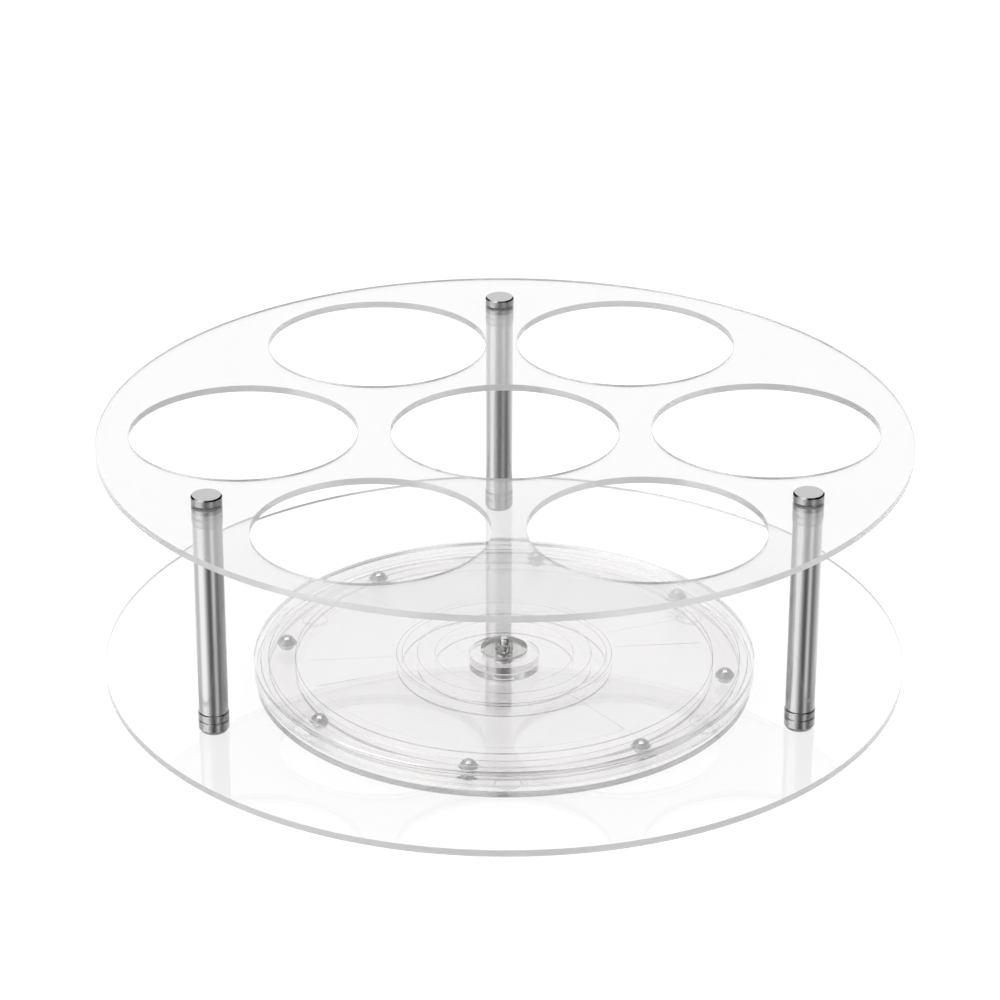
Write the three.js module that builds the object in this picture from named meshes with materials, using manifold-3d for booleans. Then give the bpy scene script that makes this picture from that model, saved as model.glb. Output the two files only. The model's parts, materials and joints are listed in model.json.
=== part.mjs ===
// A two-deck clear acrylic lazy susan. The upper deck has seven round holes that hold tumblers or
// candle jars, three polished metal posts carry it above a plain lower deck, and a flat
// ball-bearing turntable of clear moulded plastic under the lower deck lets the whole rack turn.
// Millimetres, +Z up. The origin is on the table, on the turning axis. A row of three holes runs
// along X, and one post stands at +Y.
import * as THREE from "three";
import { mergeVertices } from "three/addons/utils/BufferGeometryUtils.js";
import Module from "manifold-3d";

// Decks. Six cup holes stand in a hexagon round the middle one.
const CUP_HOLE_RADIUS = 50;
const CUP_HOLES_AROUND = 6;
const HOLE_WEB = 14; // narrowest sheet between two holes
const DECK_RIM = 14; // narrowest sheet between a hole and the edge
const CUP_HOLE_PITCH = 2 * CUP_HOLE_RADIUS + HOLE_WEB;
const DECK_RADIUS = CUP_HOLE_PITCH + CUP_HOLE_RADIUS + DECK_RIM;
const DECK_THICKNESS = 3;
const DECK_SPACING = 103.5; // clear height between the two decks

// Posts
const POST_COUNT = 3;
const POST_INSET = 32.6; // from the decks' edge to the middle of a post
const POST_CIRCLE_RADIUS = DECK_RADIUS - POST_INSET;
const FIRST_POST_ANGLE = Math.PI / 2;
const TUBE_RADIUS = 6.35;
const COLLAR_STEP = 0.3; // how far collars and caps stand proud of the tube
const COLLAR_RADIUS = TUBE_RADIUS + COLLAR_STEP;
const COLLAR_LENGTH = 7.5;
const COLLAR_RING_LENGTH = 2.9; // the part of a collar between its groove and the tube
const GROOVE_WIDTH = 0.7;
const GROOVE_DEPTH = 0.6;
const CAP_HEIGHT = 3.4;
const CAP_CHAMFER = 0.6;
const STUD_RADIUS = 3;
const STUD_REACH = 10; // how far a cap's stud and a foot screw go into the tube
const SCREW_HEAD_RADIUS = 5.4;
const SCREW_HEAD_DEPTH = 2.4;

// Turntable
const TURNTABLE_RADIUS = 112;
const BALL_COUNT = 8;
const BALL_RADIUS = 4;
const BALL_INSET = 12.5; // from the turntable's edge to the middle of a ball
const BALL_CIRCLE_RADIUS = TURNTABLE_RADIUS - BALL_INSET;
const FIRST_BALL_ANGLE = THREE.MathUtils.degToRad(35.25);
const RACE_FLOOR = 1.9; // plastic left behind the flat channel that the balls run in
const RACE_WIDTH = 12;
const ROTOR_PLATE = 2.7;
const SKIRT_WALL = 3;
const SKIRT_OPENING = 2.5; // between the rotor's skirt and the stator's plate
const STATOR_INSET = 1; // how far the stator's edge stands inside the rotor's
const STATOR_PLATE = 2.9;
const CAGE_THICKNESS = 1.2;
const POCKET_COUNT = 6;
const POCKET_INNER_RADIUS = 50;
const POCKET_MARGIN = 5; // plain ring between the pockets and the race
const POCKET_OUTER_RADIUS = BALL_CIRCLE_RADIUS - RACE_WIDTH / 2 - POCKET_MARGIN;
const POCKET_DEPTH = 0.2; // shallow recesses under the rotor, between its spokes
const SPOKE_ANGLE = THREE.MathUtils.degToRad(16);
const FIRST_SPOKE_ANGLE = THREE.MathUtils.degToRad(13);
const RIB_INNER_RADIUS = 45.8;
const RIB_OUTER_RADIUS = 48.2;
const RIB_HEIGHT = 0.6;
const PAD_INNER_RADIUS = 31;
const PAD_OUTER_RADIUS = 39;
const PAD_HEIGHT = 0.4;
const HUB_RADIUS = 15.6;

// Pivot
const PIVOT_SCREW_RADIUS = 2;
const PIVOT_HEAD_RADIUS = 4.2;
const PIVOT_HEAD_HEIGHT = 1.6;
const BUSHING_WALL = 1.3;
const PIVOT_WASHER_RADIUS = 9.5;
const PIVOT_WASHER_THICKNESS = 1.2;
const PIVOT_NUT_SIDES = 6;
const PIVOT_NUT_ACROSS_CORNERS = 8.1;
const PIVOT_NUT_HEIGHT = 3.2;
const PIVOT_TIP = 3; // thread that stands out of the nut
const AXLE_HOLE_CLEARANCE = 1; // round the washer, in the middle of the lower deck
const AXLE_HOLE_RADIUS = PIVOT_WASHER_RADIUS + AXLE_HOLE_CLEARANCE;

// Feet
const FOOT_COUNT = 6;
const FOOT_RADIUS = 6;
const FOOT_THICKNESS = 1.5;

// Clearances
const SEAT_GAP = 0.3; // between pieces that rest on each other
const BORE_GAP = 0.3; // all round a screw or a turning sleeve in its hole
const CUT_OVERSHOOT = 1; // how far a cutter runs past the face it cuts

// Facets round a full circle
const DECK_SEGMENTS = 80;
const CUP_HOLE_SEGMENTS = 40;
const RACE_SEGMENTS = 48;
const POST_SEGMENTS = 16;
const SMALL_SEGMENTS = 12;
const BALL_SEGMENTS = 12;
const BALL_RINGS = 8;
const MERGE_TOLERANCE = 1e-4;

// Levels above the table, from the bottom up
const STATOR_BOTTOM = FOOT_THICKNESS + SEAT_GAP;
const BALL_LEVEL = STATOR_BOTTOM + RACE_FLOOR + SEAT_GAP + BALL_RADIUS;
const ROTOR_TOP = BALL_LEVEL + BALL_RADIUS + SEAT_GAP + RACE_FLOOR;
const STATOR_FACE = STATOR_BOTTOM + STATOR_PLATE;
const ROTOR_FACE = ROTOR_TOP - ROTOR_PLATE;
const SKIRT_BOTTOM = STATOR_FACE + SKIRT_OPENING;
const LOWER_DECK_BOTTOM = ROTOR_TOP + SEAT_GAP;
const LOWER_DECK_TOP = LOWER_DECK_BOTTOM + DECK_THICKNESS;
const UPPER_DECK_BOTTOM = LOWER_DECK_TOP + DECK_SPACING;
const UPPER_DECK_TOP = UPPER_DECK_BOTTOM + DECK_THICKNESS;
const TUBE_BOTTOM = LOWER_DECK_TOP + COLLAR_LENGTH + 2 * SEAT_GAP;
const TUBE_TOP = UPPER_DECK_BOTTOM - COLLAR_LENGTH - 2 * SEAT_GAP;

const STUD_HOLE_RADIUS = STUD_RADIUS + BORE_GAP;
const BUSHING_BORE = PIVOT_SCREW_RADIUS + BORE_GAP;
const BUSHING_RADIUS = BUSHING_BORE + BUSHING_WALL;
const PIVOT_WASHER_TOP = ROTOR_TOP + SEAT_GAP + PIVOT_WASHER_THICKNESS;
const PIVOT_NUT_BOTTOM = PIVOT_WASHER_TOP + SEAT_GAP;

const wasm = await Module();
wasm.setup();

const MATERIALS = {
  acrylic: { color: 0xf3f8f8, roughness: 0.04, metalness: 0, transparent: true, opacity: 0.35 },
  moulding: { color: 0xeef2f4, roughness: 0.1, metalness: 0, transparent: true, opacity: 0.4 },
  nylon: { color: 0xe6e8e6, roughness: 0.35, metalness: 0, transparent: true, opacity: 0.6 },
  polished: { color: 0xc9cacb, roughness: 0.12, metalness: 1 },
  steel: { color: 0xa9abae, roughness: 0.3, metalness: 1 },
  rubber: { color: 0xdcdedd, roughness: 0.8, metalness: 0 },
};

const rack = new THREE.Group();

function addPiece(name, geometry, material, x = 0, y = 0) {
  const mesh = new THREE.Mesh(geometry, new THREE.MeshStandardMaterial(MATERIALS[material]));
  mesh.name = name;
  mesh.position.set(x, y, 0);
  rack.add(mesh);
}

function aroundCircle(count, radius, firstAngle) {
  return Array.from({ length: count }, (_, i) => {
    const angle = firstAngle + (i * 2 * Math.PI) / count;
    return [radius * Math.cos(angle), radius * Math.sin(angle)];
  });
}

function circlePath(x, y, radius, segments) {
  const points = aroundCircle(segments, radius, 0);
  return new THREE.Path(points.map(([dx, dy]) => new THREE.Vector2(x + dx, y + dy)));
}

// A flat plate of the given outline points, with round holes listed as [x, y, radius, segments].
function plateWithHoles(outline, holes, bottom, thickness) {
  const shape = new THREE.Shape(outline.map(([x, y]) => new THREE.Vector2(x, y)));
  shape.holes = holes.map((hole) => circlePath(...hole));
  const plate = new THREE.ExtrudeGeometry(shape, { depth: thickness, bevelEnabled: false });
  return plate.translate(0, 0, bottom);
}

// A body of revolution about Z from [radius, level] points that run up the outside.
function turned(profile, segments) {
  const points = profile.map(([radius, level]) => new THREE.Vector2(radius, level));
  return new THREE.LatheGeometry(points, segments).rotateX(Math.PI / 2);
}

function turnedRing(profile, segments) {
  return turned([...profile, profile[0]], segments);
}

function toSolid(geometry) {
  const bare = geometry.clone();
  bare.deleteAttribute("normal");
  bare.deleteAttribute("uv");
  const merged = mergeVertices(bare, MERGE_TOLERANCE);
  const triVerts = new Uint32Array(merged.index.array);
  const vertProperties = merged.attributes.position.array;
  return new wasm.Manifold(new wasm.Mesh({ numProp: 3, vertProperties, triVerts }));
}

function cutAway(geometry, cutters) {
  const cut = cutters.reduce((solid, cutter) => solid.subtract(toSolid(cutter)), toSolid(geometry));
  const mesh = cut.getMesh();
  const result = new THREE.BufferGeometry();
  result.setAttribute("position", new THREE.BufferAttribute(mesh.vertProperties, 3));
  result.setIndex(new THREE.BufferAttribute(mesh.triVerts, 1));
  result.computeVertexNormals();
  return result;
}

const postPlaces = aroundCircle(POST_COUNT, POST_CIRCLE_RADIUS, FIRST_POST_ANGLE);

function upperDeck() {
  const cupPlaces = [[0, 0], ...aroundCircle(CUP_HOLES_AROUND, CUP_HOLE_PITCH, 0)];
  const cupHoles = cupPlaces.map(([x, y]) => [x, y, CUP_HOLE_RADIUS, CUP_HOLE_SEGMENTS]);
  const studHoles = postPlaces.map(([x, y]) => [x, y, STUD_HOLE_RADIUS, SMALL_SEGMENTS]);
  const outline = aroundCircle(DECK_SEGMENTS, DECK_RADIUS, 0);
  return plateWithHoles(outline, [...cupHoles, ...studHoles], UPPER_DECK_BOTTOM, DECK_THICKNESS);
}

// A countersunk hole through the lower deck, wide end down, for a foot screw.
function countersink(x, y) {
  const headRadius = SCREW_HEAD_RADIUS + BORE_GAP;
  const headTop = LOWER_DECK_BOTTOM + SCREW_HEAD_DEPTH;
  const profile = [
    [0, LOWER_DECK_BOTTOM - CUT_OVERSHOOT],
    [headRadius, LOWER_DECK_BOTTOM - CUT_OVERSHOOT],
    [headRadius, LOWER_DECK_BOTTOM],
    [STUD_HOLE_RADIUS, headTop],
    [STUD_HOLE_RADIUS, LOWER_DECK_TOP + CUT_OVERSHOOT],
    [0, LOWER_DECK_TOP + CUT_OVERSHOOT],
  ];
  return turned(profile, POST_SEGMENTS).translate(x, y, 0);
}

function lowerDeck() {
  const outline = aroundCircle(DECK_SEGMENTS, DECK_RADIUS, 0);
  const axleHole = [0, 0, AXLE_HOLE_RADIUS, POST_SEGMENTS];
  const blank = plateWithHoles(outline, [axleHole], LOWER_DECK_BOTTOM, DECK_THICKNESS);
  return cutAway(blank, postPlaces.map(([x, y]) => countersink(x, y)));
}

function postTube() {
  const profile = [
    [STUD_HOLE_RADIUS, TUBE_BOTTOM],
    [TUBE_RADIUS, TUBE_BOTTOM],
    [TUBE_RADIUS, TUBE_TOP],
    [STUD_HOLE_RADIUS, TUBE_TOP],
  ];
  return turnedRing(profile, POST_SEGMENTS);
}

// A collar between a deck face and the tube. Its thin ring is on the tube side of the groove.
function postCollar(deckFace, towardsTube) {
  const at = (distance) => deckFace + towardsTube * (SEAT_GAP + distance);
  const grooveStart = COLLAR_LENGTH - COLLAR_RING_LENGTH - GROOVE_WIDTH;
  const profile = [
    [STUD_HOLE_RADIUS, at(0)],
    [COLLAR_RADIUS, at(0)],
    [COLLAR_RADIUS, at(grooveStart)],
    [COLLAR_RADIUS - GROOVE_DEPTH, at(grooveStart)],
    [COLLAR_RADIUS - GROOVE_DEPTH, at(grooveStart + GROOVE_WIDTH)],
    [COLLAR_RADIUS, at(grooveStart + GROOVE_WIDTH)],
    [COLLAR_RADIUS, at(COLLAR_LENGTH)],
    [STUD_HOLE_RADIUS, at(COLLAR_LENGTH)],
  ];
  return turnedRing(towardsTube > 0 ? profile : profile.reverse(), POST_SEGMENTS);
}

// A cap with a chamfered rim and the threaded stud that goes through the deck into the tube.
function postCap() {
  const seat = UPPER_DECK_TOP + SEAT_GAP;
  const profile = [
    [0, TUBE_TOP - STUD_REACH],
    [STUD_RADIUS, TUBE_TOP - STUD_REACH],
    [STUD_RADIUS, seat],
    [COLLAR_RADIUS, seat],
    [COLLAR_RADIUS, seat + CAP_HEIGHT - CAP_CHAMFER],
    [COLLAR_RADIUS - CAP_CHAMFER, seat + CAP_HEIGHT],
    [0, seat + CAP_HEIGHT],
  ];
  return turned(profile, POST_SEGMENTS);
}

function footScrew() {
  const headFace = LOWER_DECK_BOTTOM + SEAT_GAP / 2;
  const profile = [
    [0, headFace],
    [SCREW_HEAD_RADIUS, headFace],
    [STUD_RADIUS, headFace + SCREW_HEAD_DEPTH],
    [STUD_RADIUS, TUBE_BOTTOM + STUD_REACH],
    [0, TUBE_BOTTOM + STUD_REACH],
  ];
  return turned(profile, SMALL_SEGMENTS);
}

// The face of a race disc that looks at the balls, from its bore out: hub, pad ring, rib and the
// flat channel that the balls run in.
// plateFace is the level of the plain plate, and side is 1 above the balls and -1 below.
function innerFace(boreRadius, plateFace, side) {
  const raceLevel = BALL_LEVEL + side * (BALL_RADIUS + SEAT_GAP);
  const hubLevel = BALL_LEVEL + side * SEAT_GAP;
  const padLevel = plateFace - side * PAD_HEIGHT;
  const ribLevel = plateFace - side * RIB_HEIGHT;
  const raceInner = BALL_CIRCLE_RADIUS - RACE_WIDTH / 2;
  return [
    [boreRadius, hubLevel],
    [HUB_RADIUS, hubLevel],
    [HUB_RADIUS, plateFace],
    [PAD_INNER_RADIUS, plateFace],
    [PAD_INNER_RADIUS, padLevel],
    [PAD_OUTER_RADIUS, padLevel],
    [PAD_OUTER_RADIUS, plateFace],
    [RIB_INNER_RADIUS, plateFace],
    [RIB_INNER_RADIUS, ribLevel],
    [RIB_OUTER_RADIUS, ribLevel],
    [RIB_OUTER_RADIUS, plateFace],
    [raceInner, plateFace],
    [raceInner, raceLevel],
    [raceInner + RACE_WIDTH, raceLevel],
    [raceInner + RACE_WIDTH, plateFace],
  ];
}

// Wedges that cut the shallow pockets between the spokes into the underside of the rotor.
function pocketCutters() {
  const sweep = (2 * Math.PI) / POCKET_COUNT - SPOKE_ANGLE;
  return Array.from({ length: POCKET_COUNT }, (_, i) => {
    const start = FIRST_SPOKE_ANGLE + SPOKE_ANGLE / 2 + (i * 2 * Math.PI) / POCKET_COUNT;
    const wedge = new THREE.Shape();
    wedge.absarc(0, 0, POCKET_OUTER_RADIUS, start, start + sweep, false);
    wedge.absarc(0, 0, POCKET_INNER_RADIUS, start + sweep, start, true);
    wedge.closePath();
    const depth = CUT_OVERSHOOT + POCKET_DEPTH;
    const options = { depth, bevelEnabled: false, curveSegments: 3 };
    return new THREE.ExtrudeGeometry(wedge, options).translate(0, 0, ROTOR_FACE - CUT_OVERSHOOT);
  });
}

// The upper race disc, which turns with the decks: a plate with a skirt round its edge.
function turntableRotor() {
  const boreRadius = BUSHING_RADIUS + BORE_GAP;
  const profile = [
    ...innerFace(boreRadius, ROTOR_FACE, 1),
    [TURNTABLE_RADIUS - SKIRT_WALL, ROTOR_FACE],
    [TURNTABLE_RADIUS - SKIRT_WALL, SKIRT_BOTTOM],
    [TURNTABLE_RADIUS, SKIRT_BOTTOM],
    [TURNTABLE_RADIUS, ROTOR_TOP],
    [boreRadius, ROTOR_TOP],
  ];
  return cutAway(turnedRing(profile, RACE_SEGMENTS), pocketCutters());
}

// The lower race disc, which stands on the feet, with a recess under its hub for the screw head.
function turntableStator() {
  const edge = TURNTABLE_RADIUS - STATOR_INSET;
  const recessRadius = PIVOT_HEAD_RADIUS + BORE_GAP;
  const recessTop = STATOR_BOTTOM + PIVOT_HEAD_HEIGHT + 2 * SEAT_GAP;
  const profile = [
    [recessRadius, STATOR_BOTTOM],
    [edge, STATOR_BOTTOM],
    [edge, STATOR_FACE],
    ...innerFace(BUSHING_BORE, STATOR_FACE, -1).reverse(),
    [BUSHING_BORE, recessTop],
    [recessRadius, recessTop],
  ];
  return turnedRing(profile, RACE_SEGMENTS);
}

function ballCage() {
  const inner = [0, 0, BALL_CIRCLE_RADIUS - RACE_WIDTH / 2, RACE_SEGMENTS];
  const seats = aroundCircle(BALL_COUNT, BALL_CIRCLE_RADIUS, FIRST_BALL_ANGLE);
  const seatHoles = seats.map(([x, y]) => [x, y, BALL_RADIUS + BORE_GAP, SMALL_SEGMENTS]);
  const outline = aroundCircle(RACE_SEGMENTS, BALL_CIRCLE_RADIUS + RACE_WIDTH / 2, 0);
  const bottom = BALL_LEVEL - CAGE_THICKNESS / 2;
  return plateWithHoles(outline, [inner, ...seatHoles], bottom, CAGE_THICKNESS);
}

function pivotScrew() {
  const headBottom = STATOR_BOTTOM + SEAT_GAP;
  const profile = [
    [0, headBottom],
    [PIVOT_HEAD_RADIUS, headBottom],
    [PIVOT_HEAD_RADIUS, headBottom + PIVOT_HEAD_HEIGHT],
    [PIVOT_SCREW_RADIUS, headBottom + PIVOT_HEAD_HEIGHT],
    [PIVOT_SCREW_RADIUS, PIVOT_NUT_BOTTOM + PIVOT_NUT_HEIGHT + PIVOT_TIP],
    [0, PIVOT_NUT_BOTTOM + PIVOT_NUT_HEIGHT + PIVOT_TIP],
  ];
  return turned(profile, SMALL_SEGMENTS);
}

// The sleeve that the rotor turns on, from the stator's hub to the washer.
function pivotBushing() {
  const profile = [
    [BUSHING_BORE, BALL_LEVEL],
    [BUSHING_RADIUS, BALL_LEVEL],
    [BUSHING_RADIUS, ROTOR_TOP],
    [BUSHING_BORE, ROTOR_TOP],
  ];
  return turnedRing(profile, SMALL_SEGMENTS);
}

function pivotWasher() {
  const outline = aroundCircle(POST_SEGMENTS, PIVOT_WASHER_RADIUS, 0);
  const bottom = PIVOT_WASHER_TOP - PIVOT_WASHER_THICKNESS;
  const bore = [0, 0, BUSHING_BORE, SMALL_SEGMENTS];
  return plateWithHoles(outline, [bore], bottom, PIVOT_WASHER_THICKNESS);
}

function pivotNut() {
  const outline = aroundCircle(PIVOT_NUT_SIDES, PIVOT_NUT_ACROSS_CORNERS / 2, 0);
  const bore = [0, 0, BUSHING_BORE, SMALL_SEGMENTS];
  return plateWithHoles(outline, [bore], PIVOT_NUT_BOTTOM, PIVOT_NUT_HEIGHT);
}

function bearingBall() {
  const ball = new THREE.SphereGeometry(BALL_RADIUS, BALL_SEGMENTS, BALL_RINGS);
  return ball.rotateX(Math.PI / 2).translate(0, 0, BALL_LEVEL);
}

function rubberFoot() {
  const outline = aroundCircle(SMALL_SEGMENTS, FOOT_RADIUS, 0);
  return plateWithHoles(outline, [], 0, FOOT_THICKNESS);
}

addPiece("upper_deck", upperDeck(), "acrylic");
addPiece("lower_deck", lowerDeck(), "acrylic");
postPlaces.forEach(([x, y], i) => {
  addPiece(`post_tube_${i + 1}`, postTube(), "polished", x, y);
  addPiece(`post_lower_collar_${i + 1}`, postCollar(LOWER_DECK_TOP, 1), "polished", x, y);
  addPiece(`post_upper_collar_${i + 1}`, postCollar(UPPER_DECK_BOTTOM, -1), "polished", x, y);
  addPiece(`post_cap_${i + 1}`, postCap(), "polished", x, y);
  addPiece(`post_foot_screw_${i + 1}`, footScrew(), "steel", x, y);
});

addPiece("turntable_rotor", turntableRotor(), "moulding");
addPiece("turntable_stator", turntableStator(), "moulding");
addPiece("ball_cage", ballCage(), "moulding");
aroundCircle(BALL_COUNT, BALL_CIRCLE_RADIUS, FIRST_BALL_ANGLE).forEach(([x, y], i) => {
  addPiece(`bearing_ball_${i + 1}`, bearingBall(), "steel", x, y);
});

addPiece("pivot_screw", pivotScrew(), "steel");
addPiece("pivot_bushing", pivotBushing(), "nylon");
addPiece("pivot_washer", pivotWasher(), "nylon");
addPiece("pivot_nut", pivotNut(), "nylon");
aroundCircle(FOOT_COUNT, BALL_CIRCLE_RADIUS, Math.PI / 2).forEach(([x, y], i) => {
  addPiece(`rubber_foot_${i + 1}`, rubberFoot(), "rubber", x, y);
});

export default rack;
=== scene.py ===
"""A two-deck lazy susan of clear acrylic sheet on polished metal posts.

The upper deck has seven round holes for tumblers or candle jars. Under the lower deck lies a flat
ball bearing of clear moulded plastic, which lets the whole rack turn. Run as a script, this models
every piece around the packed frame, in metres, and sets up the studio, the light and the camera.
"""
import json
import math

import bpy
from mathutils import Matrix, Vector

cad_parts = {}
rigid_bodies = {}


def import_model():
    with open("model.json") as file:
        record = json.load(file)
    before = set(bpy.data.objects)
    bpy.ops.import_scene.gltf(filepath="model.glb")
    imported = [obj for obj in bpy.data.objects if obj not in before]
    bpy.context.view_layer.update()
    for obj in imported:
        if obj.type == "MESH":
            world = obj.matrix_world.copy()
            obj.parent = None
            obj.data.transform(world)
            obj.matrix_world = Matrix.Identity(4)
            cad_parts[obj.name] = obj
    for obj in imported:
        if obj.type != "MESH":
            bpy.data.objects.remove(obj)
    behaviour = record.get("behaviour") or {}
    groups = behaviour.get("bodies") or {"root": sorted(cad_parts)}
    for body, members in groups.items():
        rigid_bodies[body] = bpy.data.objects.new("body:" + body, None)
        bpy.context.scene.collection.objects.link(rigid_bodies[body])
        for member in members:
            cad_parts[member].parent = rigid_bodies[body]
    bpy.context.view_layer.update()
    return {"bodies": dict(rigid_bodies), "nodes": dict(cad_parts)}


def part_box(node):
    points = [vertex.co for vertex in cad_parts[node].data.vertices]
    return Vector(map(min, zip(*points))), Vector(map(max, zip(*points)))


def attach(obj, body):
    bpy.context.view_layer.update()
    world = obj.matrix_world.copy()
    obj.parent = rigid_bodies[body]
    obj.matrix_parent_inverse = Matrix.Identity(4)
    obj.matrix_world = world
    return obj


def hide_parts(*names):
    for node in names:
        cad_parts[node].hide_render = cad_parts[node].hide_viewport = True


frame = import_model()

bl_info = {
    "name": "Lazy Susan Turntable",
    "version": (1, 0, 0),
    "blender": (4, 5, 0),
    "location": "View3D > Sidebar > Turntable",
    "description": "Models a two-deck acrylic lazy susan on a flat ball bearing",
    "category": "Add Mesh",
}

MM = 0.001
SMOOTH_BELOW = math.radians(20)
MOULDED_CORNER = math.radians(50)  # moulded edges sharper than this are rounded
OVERSHOOT = 1 * MM  # how far a cutter stands out of what it cuts
RUNNING_GAP = 0.3 * MM
HEAD_ROOM = 0.6 * MM  # over the pivot screw's head

HEXAGON = 6
SMALL_HOLE_SEGMENTS = 32
SCREW_SEGMENTS = 48
POCKET_SEGMENTS = 60
AXLE_HOLE_SEGMENTS = 96

ACRYLIC_INSIDE = "#A6A6A6"
STYRENE_INSIDE = "#A6A5A5"


# ---------------------------------------------------------------- colours, nodes and materials


def srgb(hex_colour, channels=3):
    """An sRGB hex colour as the linear numbers that Blender's sockets hold."""
    values = [int(hex_colour[i : i + 2], 16) / 255 for i in (1, 3, 5)]
    linear = [v / 12.92 if v <= 0.04045 else ((v + 0.055) / 1.055) ** 2.4 for v in values]
    return tuple(linear + [1.0] * (channels - 3))


def add_node(tree, kind, inputs=None, **settings):
    """Adds a node. Each input is given as a plain value or as another node's output."""
    made = tree.nodes.new(kind)
    for name, value in settings.items():
        setattr(made, name, value)
    for socket, value in (inputs or {}).items():
        if isinstance(value, bpy.types.NodeSocket):
            tree.links.new(value, made.inputs[socket])
        else:
            made.inputs[socket].default_value = value
    return made


def calculate(tree, operation, first, second=0.0, **settings):
    """The output of a Math node on one or two values."""
    inputs = {0: first, 1: second}
    return add_node(tree, "ShaderNodeMath", inputs, operation=operation, **settings).outputs[0]


def mixed(tree, share, first, second):
    """From the first value to the second as share goes from 0 to 1."""
    inputs = {"Factor": share, 2: first, 3: second}
    return add_node(tree, "ShaderNodeMix", inputs, data_type="FLOAT").outputs["Result"]


def new_material(name, shader_inputs):
    """A material with a Principled shader, as (material, its node tree, the shader)."""
    material = bpy.data.materials.new(name)
    material.use_nodes = True
    tree = material.node_tree
    tree.nodes.clear()
    shader = add_node(tree, "ShaderNodeBsdfPrincipled", shader_inputs)
    add_node(tree, "ShaderNodeOutputMaterial", {"Surface": shader.outputs["BSDF"]}, name="Output")
    return material, tree, shader


def clear_plastic(name, tint, ior, roughness, transmission=1.0):
    inputs = {
        "Base Color": (*tint, 1),
        "IOR": ior,
        "Roughness": roughness,
        "Transmission Weight": transmission,
    }
    return new_material(name, inputs)


def bare_metal(name, tint, roughness, **more):
    inputs = {"Base Color": (*tint, 1), "Metallic": 1.0, "Roughness": roughness, **more}
    return new_material(name, inputs)


def mottle(tree, grain):
    """Noise through the piece, with spots the size of grain."""
    place = add_node(tree, "ShaderNodeTexCoord")
    inputs = {"Vector": place.outputs["Object"], "Scale": 1 / grain, "Detail": 2.0}
    return add_node(tree, "ShaderNodeTexNoise", inputs).outputs["Fac"]


def add_bump(tree, shader, height, depth, strength=1.0):
    inputs = {"Height": height, "Distance": depth, "Strength": strength}
    bump = add_node(tree, "ShaderNodeBump", inputs)
    tree.links.new(bump.outputs["Normal"], shader.inputs["Normal"])


def uneven_surface(tree, shader, grain, depth, smooth, rough):
    """Faint unevenness: grain is its size and depth its height in metres. Roughness wanders
    between smooth and rough with it."""
    noise = mottle(tree, grain)
    add_bump(tree, shader, noise, depth)
    # The noise seldom leaves the range from 0.3 to 0.7.
    inputs = {"Value": noise, "From Min": 0.3, "From Max": 0.7, "To Min": smooth, "To Max": rough}
    spread = add_node(tree, "ShaderNodeMapRange", inputs)
    tree.links.new(spread.outputs["Result"], shader.inputs["Roughness"])


def add_depth_tint(tree, colour, density):
    """Light is absorbed on its way through the material, by density per metre."""
    inputs = {"Color": srgb(colour, 4), "Density": density}
    tint = add_node(tree, "ShaderNodeVolumeAbsorption", inputs)
    tree.links.new(tint.outputs["Volume"], tree.nodes["Output"].inputs["Volume"])


def cast_acrylic(settings, painted_veil):
    """Cast acrylic sheet (PMMA) as it comes from between glass plates: optically flat, glossy, with
    a faint neutral grey that only a long way through it shows."""
    name = "Cast acrylic sheet"
    # Part of the sheet is matt white instead of clear: painted light, a white veil standing in for
    # bright reflections that wash out what is seen through it.
    material, tree, _ = clear_plastic(name, settings.sheet_colour, 1.49, 0.0, 1.0 - painted_veil)
    add_depth_tint(tree, ACRYLIC_INSIDE, settings.depth_tint)
    return material


def cut_edge_painted_grey(settings):
    """The same sheet where it was cut and flame-polished: glossy but less flat than the faces. Less
    than half the light passes it and the rest is matt: painted reflection, a grey that stands in
    for the surroundings that a clear edge reflects and bends."""
    name = "Flame-polished acrylic edge"
    material, tree, shader = clear_plastic(name, settings.edge_colour, 1.49, 0.05, 0.42)
    # Saw marks 2 mm apart, nearly melted away by the flame.
    uneven_surface(tree, shader, 2 * MM, 0.004 * MM, 0.02, 0.09)
    add_depth_tint(tree, ACRYLIC_INSIDE, settings.depth_tint)
    return material


def moulded_styrene(settings):
    """Clear injection-moulded styrene: hard, clear and glossy, with slow flow ripples from the gate
    that bend what is seen through it."""
    name = "Clear moulded styrene"
    material, tree, shader = clear_plastic(name, settings.moulding_colour, 1.57, 0.03)
    uneven_surface(tree, shader, 9 * MM, 0.006 * MM, 0.0, 0.06)
    add_depth_tint(tree, STYRENE_INSIDE, settings.depth_tint)
    return material


def natural_nylon(settings):
    """Natural nylon, moulded: all but clear in so small a piece, with a soft sheen."""
    name = "Natural nylon"
    material, tree, shader = clear_plastic(name, settings.nylon_colour, 1.53, 0.12, 0.92)
    uneven_surface(tree, shader, 1.2 * MM, 0.01 * MM, 0.08, 0.2)
    return material


def brushed_tube_metal(settings):
    """Stainless tube, polished on a lathe. The fine lines run round it, so reflections are drawn
    out along its length. Real lines are 0.05 mm apart and are drawn at 0.4 mm to show at all."""
    name = "Lathe-polished stainless tube"
    material, tree, shader = bare_metal(name, settings.metal_colour, 0.16, Anisotropic=0.6)
    place = add_node(tree, "ShaderNodeTexCoord")
    axes = add_node(tree, "ShaderNodeSeparateXYZ", {"Vector": place.outputs["Object"]})
    inputs = {"W": axes.outputs["Z"], "Scale": 1 / (0.4 * MM), "Detail": 3.0}
    lines = add_node(tree, "ShaderNodeTexNoise", inputs, noise_dimensions="1D")
    add_bump(tree, shader, lines.outputs["Fac"], 0.002 * MM)
    around = add_node(tree, "ShaderNodeTangent", direction_type="RADIAL", axis="Z")
    tree.links.new(around.outputs["Tangent"], shader.inputs["Tangent"])
    return material


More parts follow.
